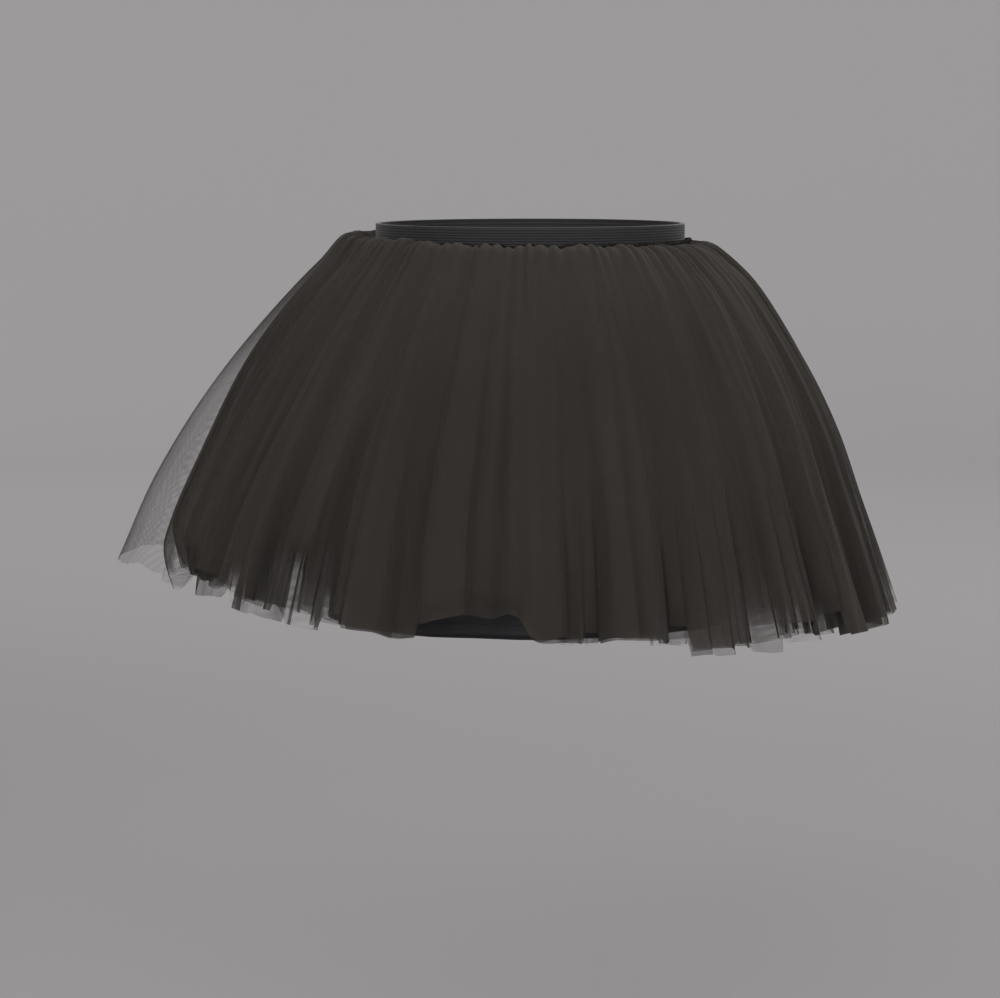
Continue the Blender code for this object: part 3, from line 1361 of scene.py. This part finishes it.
@dataclass
class SlipLining:
    """The A-line satin tube under the net, with a turned and stitched hem."""

    # height, half width, half depth
    sections: tuple = (
        (-0.0122, 0.1000, 0.0850),
        (-0.0500, 0.1070, 0.0930),
        (-0.1400, 0.1190, 0.1050),
        (-0.2480, 0.1320, 0.1160),
    )
    waves: int = 12
    wave_depth: float = 0.0018
    thickness: float = 0.0006
    hem_turning: float = 0.0110
    hem_gap: float = 0.0011
    stitch_height: float = 0.0095
    stitch: float = 0.0024
    stitch_space: float = 0.0008
    # Where a stitch's thread dives in and lies on the cloth, as shares of it, and how far out it is
    stitch_shares: tuple = (0.0, 0.25, 0.75, 1.0)
    stitch_lifts: tuple = (-0.0003, 0.00012, 0.00012, -0.0003)
    columns: int = 432
    rows: int = 64
    cut_width: float = 0.80

    def __post_init__(self) -> None:
        """Name the heights of its two ends."""
        self.top = self.sections[0][0]
        self.hem = self.sections[-1][0]

    def shell(self, angle: np.ndarray, height: np.ndarray, inset: np.ndarray | float) -> np.ndarray:
        """Points of the tube.

        Args:
            angle: Angles round the waist.
            height: Heights above the waist.
            inset: How far inside the tube's outer surface.

        Returns:
            One point for each pair.
        """
        heights, widths, depths = (np.array(column)[::-1] for column in zip(*self.sections))
        fallen = (self.top - height) / (self.top - self.hem)
        smooth_width = np.interp(height, heights, widths)
        smooth_depth = np.interp(height, heights, depths)
        wave = fallen * self.wave_depth * np.cos(self.waves * angle) - inset
        wave += creased(LINING_CREASES, angle, fallen, smooth_depth)
        x = (smooth_width + wave) * np.cos(angle)
        y = (smooth_depth + wave) * np.sin(angle)
        return np.stack((x, y, height), axis=1)

    def build(self, finish: bpy.types.Material) -> bpy.types.Object:
        """Build the tube and its turned-up hem as one sheet.

        Args:
            finish: The satin material.

        Returns:
            The lining.
        """
        builder = grid(self.columns, self.rows)
        across, along = grid_shares(builder)
        fall = self.top - self.hem
        path = along * (fall + self.hem_turning)
        map_cut(builder, self.cut_width, fall + self.hem_turning)
        turned = np.clip(path - fall, 0, None)
        height = np.where(turned > 0, self.hem + turned, self.top - path)
        inset = self.hem_gap * eased(turned / (2 * self.hem_gap))
        lay(builder, self.shell(across * TURN - math.pi, height, inset))
        close_ring(builder)
        made = piece("lining", builder, finish)
        thick = made.modifiers.new("cloth thickness", "SOLIDIFY")
        thick.thickness = self.thickness
        thick.offset = -1.0
        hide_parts("lining_front", "lining_back")
        return made

    def hem_stitches(self, finish: bpy.types.Material) -> bpy.types.Object:
        """Sew the turned hem with a straight row.

        Args:
            finish: The thread material.

        Returns:
            The row.
        """
        half_width = self.sections[-1][1]
        count = round(TURN * half_width / (self.stitch + self.stitch_space))
        heights = np.full(len(self.stitch_shares), self.hem + self.stitch_height)
        paths = []
        for i in range(count):
            angles = TURN * i / count + np.array(self.stitch_shares) * self.stitch / half_width
            paths.append(self.shell(angles, heights, -np.array(self.stitch_lifts)))
        return Thread().sew("lining_hem_stitches", paths, False, finish)


@dataclass(frozen=True)
class Zigzag:
    """One row of zigzag stitches round the band: how far outside its face it lies, and its sizes."""

    name: str
    out: float
    height: float
    swing: float
    pitch: float


@dataclass
class Waistband:
    """The oval loop of woven elastic, ribbed along its length and sewn on with two zigzag rows."""

    half_width: float = 0.1015
    half_depth: float = 0.0865
    thickness: float = 0.0030
    height: float = 0.0240
    rounding: float = 0.0010
    corner_steps: int = 4
    cut_length: float = 0.60
    ribs: int = 14
    rib_depth: float = 0.00022
    pucker_depth: float = 0.00030
    pucker_reach: float = 0.008
    puckers: int = 88
    columns: int = 440
    face_rows: int = 70
    zigzags: tuple[Zigzag, ...] = (
        Zigzag("band_zigzag", +0.0006, -0.0012, 0.0011, 0.0026),
        Zigzag("band_zigzag_inside", -0.0031, -0.0062, 0.0018, 0.0028),
    )

    def profile(self) -> np.ndarray:
        """The corners of the band's cut face, anticlockwise.

        Returns:
            Rows of inset, height and share of the ribs.
        """
        half = self.height / 2 - self.rounding
        outer, inner = -self.rounding, self.rounding - self.thickness
        points = []
        sides = ((1, outer, inner, self.face_rows), (-1, inner, outer, self.face_rows // 2))
        for up, near, far, rows in sides:
            face = near + up * self.rounding
            points += [(face, up * half * (2 * row / rows - 1), up) for row in range(rows + 1)]
            corners = [(near, step) for step in range(1, self.corner_steps + 1)]
            corners += [(far, step) for step in range(self.corner_steps, 2 * self.corner_steps)]
            for centre, step in corners:
                turn = math.pi / 2 * step / self.corner_steps
                points.append((centre + up * self.rounding * math.cos(turn),
                               up * (half + self.rounding * math.sin(turn)), 0.0))
        return np.array(points)

    def build(self, finish: bpy.types.Material) -> bpy.types.Object:
        """Build the band by sweeping its profile round the waist.

        Args:
            finish: The elastic material.

        Returns:
            The band.
        """
        profile = self.profile()
        rows = len(profile)
        builder = grid(self.columns, rows)
        across, along = grid_shares(builder)
        map_cut(builder, self.cut_length, 2 * self.height)
        inset, height, face = profile[np.rint(along * rows).astype(int) % rows].T
        angle = across * TURN - math.pi
        rib = (np.cos(height / self.height * self.ribs * TURN) - 1) * self.rib_depth
        pucker = -0.5 * (1 + np.cos(self.puckers * angle)) * self.pucker_depth
        pucker *= eased(-height / self.pucker_reach)
        grown = inset + face * rib + pucker * np.abs(face)
        x = (self.half_width + grown) * np.cos(angle)
        y = (self.half_depth + grown) * np.sin(angle)
        lay(builder, np.stack((x, y, height), axis=1))
        close_ring(builder)
        made = piece("elastic_waistband", builder, finish)
        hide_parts("waistband")
        return made

    def zigzag(self, row: Zigzag, finish: bpy.types.Material) -> bpy.types.Object:
        """Sew one closed zigzag row.

        Args:
            row: The row.
            finish: The thread material.

        Returns:
            The row's thread.
        """
        half_width, half_depth = self.half_width + row.out, self.half_depth + row.out
        count = 2 * round(math.pi * (half_width + half_depth) / row.pitch)
        turn = np.arange(count) * TURN / count
        height = row.height + row.swing * np.where(np.arange(count) % 2, 1, -1)
        path = np.stack((half_width * np.cos(turn), half_depth * np.sin(turn), height), axis=1)
        return Thread().sew(row.name, [path], True, finish)


@dataclass
class Thread:
    """Sewing thread, swept along each stitch."""

    radius: float = 0.00022
    sides: int = 5

    def sew(self, name: str, paths: list[np.ndarray], closed: bool,
            finish: bpy.types.Material) -> bpy.types.Object:
        """Lay a thread along each path.

        Args:
            name: The piece's name.
            paths: The threads' centrelines.
            closed: Whether each joins up with its start.
            finish: The thread material.

        Returns:
            The piece.
        """
        builder = bmesh.new()
        for path in paths:
            self.tube(builder, [Vector(point) for point in path], closed)
        bmesh.ops.recalc_face_normals(builder, faces=builder.faces)
        return piece(name, builder, finish)

    def tube(self, builder: bmesh.types.BMesh, path: list[Vector], closed: bool) -> None:
        """Sweep a thread along a path.

        Args:
            builder: Where the thread is added.
            path: Its centreline.
            closed: Whether it joins up with its start.
        """
        rings = []
        count = len(path)
        for i, point in enumerate(path):
            before = path[i - 1] if i or closed else point
            after = path[(i + 1) % count] if i < count - 1 or closed else point
            ring = bmesh.ops.create_circle(builder, segments=self.sides, radius=self.radius)["verts"]
            turn = (after - before).to_track_quat("Z", "Y").to_matrix().to_4x4()
            bmesh.ops.transform(builder, matrix=Matrix.Translation(point) @ turn, verts=ring)
            rings.append(ring)
        pairs = list(zip(rings, rings[1:] + rings[:1]))
        for ring, following in pairs if closed else pairs[:-1]:
            for side in range(self.sides):
                ahead = (side + 1) % self.sides
                builder.faces.new((ring[side], ring[ahead], following[ahead], following[side]))
        if not closed:
            builder.faces.new(rings[0][::-1])
            builder.faces.new(rings[-1])


# ---- Studio ----


def aim(made: bpy.types.Object, place: Vector, target: Vector) -> None:
    """Stand a lamp or the camera at a place, facing the target, and put it in the scene.

    Args:
        made: The lamp or the camera.
        place: Where it stands.
        target: What it faces.
    """
    made.location = place
    made.rotation_euler = (target - place).to_track_quat("-Z", "Y").to_euler()
    bpy.context.scene.collection.objects.link(made)


@dataclass(frozen=True)
class Lamp:
    """A square soft lamp: its place, its side, its watts and its colour."""

    name: str
    place: tuple
    size: float
    power: float
    colour: tuple

    def build(self, target: Vector) -> None:
        """Stand the lamp so that it faces the target.

        Args:
            target: The place that it faces.
        """
        light = bpy.data.lights.new(self.name, "AREA")
        light.size = self.size
        light.energy = self.power
        light.color = self.colour
        aim(bpy.data.objects.new(self.name, light), Vector(self.place), target)


@dataclass
class Studio:
    """A round pale floor that bends up into a low wall, soft lamps and the camera."""

    floor_height: float = -0.55
    floor_radius: float = 4.2
    bend_radius: float = 1.2
    bend_steps: int = 16
    wall_rise: float = 0.5
    wall_steps: int = 96
    surround: tuple = (1.0, 0.98, 0.98, 1.0)
    surround_strength: float = 0.42
    target: tuple = (-0.0198, 0.0, -0.1700)
    camera_distance: float = 2.6
    camera_elevation: float = 6.0
    lens: float = 141.8
    sensor: float = 36.0
    nearest: float = 0.05
    lamps: tuple[Lamp, ...] = (
        Lamp("key", (-0.8, -2.6, 1.2), 2.6, 58, (1.0, 0.98, 0.96)),
        Lamp("fill", (1.7, -2.2, 0.6), 1.4, 24, (1.0, 0.98, 0.97)),
        Lamp("rim", (0.9, 1.7, 1.8), 1.4, 26, (1.0, 1.0, 1.0)),
    )

    def build(self, finish: bpy.types.Material) -> None:
        """Set the sweep, the lamps, the surround and the camera.

        Args:
            finish: The sweep's material.
        """
        self.sweep(finish)
        for lamp in self.lamps:
            lamp.build(Vector(self.target))
        self.world()
        self.camera()

    def sweep(self, finish: bpy.types.Material) -> None:
        """The floor and the wall all round, from one profile turned about the middle.

        Args:
            finish: Their material.
        """
        builder = bmesh.new()
        middle = builder.verts.new((0, 0, self.floor_height))
        rim = builder.verts.new((self.floor_radius, 0, self.floor_height))
        builder.edges.new((middle, rim))
        centre = (self.floor_radius, 0, self.floor_height + self.bend_radius)
        bent = bmesh.ops.spin(builder, geom=[rim], cent=centre, axis=(0, 1, 0), angle=-math.pi / 2,
                              steps=self.bend_steps, use_merge=False)
        top = next(item for item in bent["geom_last"] if isinstance(item, bmesh.types.BMVert))
        wall = bmesh.ops.extrude_vert_indiv(builder, verts=[top])["verts"]
        bmesh.ops.translate(builder, verts=wall, vec=(0, 0, self.wall_rise))
        bmesh.ops.spin(builder, geom=[*builder.verts, *builder.edges], cent=(0, 0, 0), axis=(0, 0, 1),
                       angle=TURN, steps=self.wall_steps, use_merge=True)
        bmesh.ops.remove_doubles(builder, verts=builder.verts, dist=STUDIO_WELD)
        bmesh.ops.recalc_face_normals(builder, faces=builder.faces)
        floor = show("studio_sweep", builder, finish)

    def world(self) -> None:
        """An even, dim surround."""
        world = bpy.data.worlds.new("studio")
        world.use_nodes = True
        background = world.node_tree.nodes["Background"]
        background.inputs["Color"].default_value = self.surround
        background.inputs["Strength"].default_value = self.surround_strength
        bpy.context.scene.world = world

    def camera(self) -> None:
        """The camera, level with the hem and turned a little down."""
        tilt = math.radians(self.camera_elevation)
        away = Vector((0, -math.cos(tilt), math.sin(tilt))) * self.camera_distance
        camera = bpy.data.cameras.new("camera")
        camera.lens = self.lens
        camera.sensor_width = self.sensor
        camera.clip_start = self.nearest
        made = bpy.data.objects.new("camera", camera)
        aim(made, Vector(self.target) + away, Vector(self.target))
        bpy.context.scene.camera = made


# ---- The garment ----


# The fold ends along the front hems, from the front view's left to its right
OUTER_TABS = tab_table(  # degrees, fall, fall at its end, notch, thinning, reach of the thinning
    (-161, -1.5, +3.5, 0, 1, 0.2),
    (-152.5, +3.5, +9.5, 0, 1, 0.2),
    (-148, +9.5, +10, 0, 1, 0.16),
    (-143.5, -4, -3, 1, 0.4, 0.06),
    (-136, +1, +1.5, 2, 0.3),
    (-132.5, +7, +7.5, 6, 0.5),
    (-129.4, +8.5, +8.5, 1),
    (-125.5, +1, 0, 0, 0.9, 0.2),
    (-121.9, 0, -2, 1, 0.3, 0.07),
    (-120.6, +10, +10, 0),
    (-120, -3, -4, 1, 0.4, 0.07),
    (-117.8, +1, +1, 4, 0.2),
    (-115.6, +8.5, +7),
    (-109, +6, +8),
    (-105.5, +3, +2, 0, 0.4, 0.07),
    (-99, +1, +1.5, 0, 0.5, 0.07),
    (-90.3, +6, +1, 0, 0.1),
    (-84, +1, +1),
    (-81.5, -4, -4, 0.5, 0.2),
    (-79.3, +3, +3),
    (-73.5, +3, +0.5),
    (-67.8, -10, -10, 1, 0.4, 0.06),
    (-64.5, +6, +6, 8),
    (-61.7, +4.5, +4.5, 1, 0.2),
    (-58, +5, +5),
    (-53.5, -8.5, -8.5, 0.5, 0.4, 0.06),
    (-49.2, -6, -6, 1, 0.3),
    (-46.4, -5.5, -5.5, 1, 0.3),
    (-43.3, +3, +3),
    (-36.8, -9, -9, 1, 0.4, 0.06),
    (-33.9, +6.5, +5),
    (-17, +0.5, +1),
    (-3,),
)
SECOND_TABS = tab_table(
    (-198, -8, -15, 1, 0.5, 0.22),
    (-178.5, 0, +0.5, 0, 1),
    (-170.5, -13.5, -11.5, 0, 0.8, 0.22),
    (-157.5, -8.5, -3, 1, 0.7, 0.12),
    (-148.5, +8, +6, 1, 0.5, 0.08),
    (-141.6, -3, -3, 1, 0.8),
    (-139.6, +10, +12, 1, 0.7, 0.06),
    (-131.3, +11, +11, 0.5, 0.7, 0.07),
    (-130.4, +10, +10, 0.5, 0.5, 0.04),
    (-127.7, +1, +1, 0, 0.9, 0.2),
    (-123.7, 0, +1, 1, 0.5, 0.07),
    (-121.5, +9, +9, 0),
    (-121, +3, +2, 1, 0.6, 0.1),
    (-118, +2, +2, 0, 0.4),
    (-116.7, +3, +3, 0, 1, 0.12),
    (-115.9, +5, +3.5),
    (-110, +3, +2),
    (-106, 0, -2.5, 0, 0.4, 0.07),
    (-100, -3, -2.5, 0, 0.5, 0.07),
    (-90.3, +3.5, -0.5, 0, 0.1),
    (-81.2, -1, -1, 0.5, 0.6),
    (-79, -2, -2.5),
    (-67, -2, -2, 0.5, 0.6, 0.1),
    (-64, +6, +6, 10, 0.2),
    (-60.6, +7, +7, 1, 0.6),
    (-57, -1, -1),
    (-52.3, +5, +8, 0.5, 0.6, 0.12),
    (-48, 0, -1, 0.5, 0.6, 0.08),
    (-44.8, -1.5, -1.5, 0.5, 0.6, 0.08),
    (-36.3, -1, -1),
    (-35.2, -1, -2.5, 0.5, 0.7, 0.1),
    (-33, +2.5, +2.5),
    (-15, -2, -2),
    (-3,),
)
THIRD_TABS = tab_table(
    (-198, -13, -13, 1, 1, 0.26),
    (-180, -14, -14, 0, 0.2),
    (-157.5, -12, -8, 1, 0.4, 0.14),
    (-151, -2, -3, 1, 0.7, 0.1),
    (-143, +5, +7, 1, 1, 0.08),
    (-140.5, 0, 0, 1),
    (-130, +8, +9, 1, 0.9, 0.2),
    (-126.2, +9, +9, 0, 1, 0.06),
    (-122.3, +6, +6, 0),
    (-121.8, -1, -1, 0.5, 0.7, 0.08),
    (-116.3, 0, -4),
    (-107, -6, -8, 0.5, 0.3, 0.07),
    (-100, -8, -8, 0.5, 0.4, 0.07),
    (-90.3, +2, -3, 0, 0.1),
    (-85.5, -3.5, -3.5, 0.5, 0.7, 0.04),
    (-78.3, -4, -5),
    (-65.5, -8, -8, 0.5, 0.5, 0.08),
    (-62.6, 0, 0),
    (-53.4, -3, -3),
    (-51, -2, -2, 0.5, 0.6, 0.1),
    (-46.9, -4, -4, 0.5, 0.6, 0.08),
    (-43, -7, -7, 0.5, 0.6, 0.08),
    (-34.7, -8, -8, 0.5, 0.7, 0.1),
    (-30, -4, -4),
    (-18, -2, -2),
    (-3,),
)
INNER_TABS = tab_table(
    (-200, -14, -15, 1, 0.3, 0.08),
    (-157, -9, -3, 1, 0.7, 0.1),
    (-146, -1, 0, 1, 0.3, 0.06),
    (-133.1, 0, 0, 1, 1, 0.21),
    (-129.1, 0, 0, 1, 0.2),
    (-117, -2, -6, 0.5, 0.3),
    (-104, -8, -8, 0.5, 0.4, 0.07),
    (-90.3, 0, -3, 0.5, 0.2),
    (-79, -4, -3, 1, 0.2),
    (-68,),
)

# From the outermost in: name, order, fans at the left, right, front and back, calm at the left, how
# much longer than the outermost, the hem's scatter, seed
SKIRTS = (
    NetSkirt("tulle_outer", 0, 0.000, 0.000, 0.000, 0.000, 0.95, 0.000, 0.0035, 11, fullness=7.0,
             pleats=60, pleat_depth=0.0012, hem_steps=0.0030, sheer_right=0.8, tabs=OUTER_TABS),
    NetSkirt("tulle_second", 1, 0.000, 0.005, 0.007, 0.007, 0.25, 0.002, 0.0045, 23, fullness=7.0,
             pleats=66, pleat_depth=0.0016, hem_steps=0.0030, tuck_left=0.015, tabs=SECOND_TABS),
    NetSkirt("tulle_third", 2, 0.013, 0.012, 0.014, 0.014, 0.00, 0.003, 0.0045, 37, fullness=6.0,
             pleats=72, pleat_depth=0.0020, hem_steps=0.0035, tuck_left=0.010, tabs=THIRD_TABS),
    NetSkirt("tulle_inner", 3, 0.020, 0.019, 0.021, 0.021, 0.00, 0.002, 0.0045, 41, fullness=6.0,
             pleats=70, pleat_depth=0.0020, hem_steps=0.0025, sheer_hem=0.11, tabs=INNER_TABS),
)


def report(made: bpy.types.Object) -> None:
    """Log a piece's name and how many faces it has."""
    LOG.info("%s: %d faces", made.name, len(made.data.polygons))


def main() -> None:
    """Build the garment's pieces in sewing order, then the studio."""
    logging.basicConfig(level=logging.INFO, format="%(name)s: %(message)s")
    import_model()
    net, satin = NetFinish().make(), SatinFinish().make()
    elastic, thread = ElasticFinish().make(), ThreadFinish().make()

    form, flutes, gathers = SkirtForm(), Flutes(), Gathers()
    outer = None
    for skirt in SKIRTS:
        made = skirt.build(form, flutes, gathers, outer, net)
        seams = SideSeams(skirt).build(net)
        form.LENGTH + skirt.longer
        for sewn in (made, *seams):
            report(sewn)
        outer = skirt

    lining = SlipLining()
    made = lining.build(satin)
    hem_row = lining.hem_stitches(thread)
    lining.top - lining.hem + lining.hem_turning
    report(made)
    report(hem_row)

    band = Waistband()
    report(band.build(elastic))
    for row in band.zigzags:
        report(band.zigzag(row, thread))

    Studio().build(StudioFinish().make())


if __name__ == "__main__":
    main()
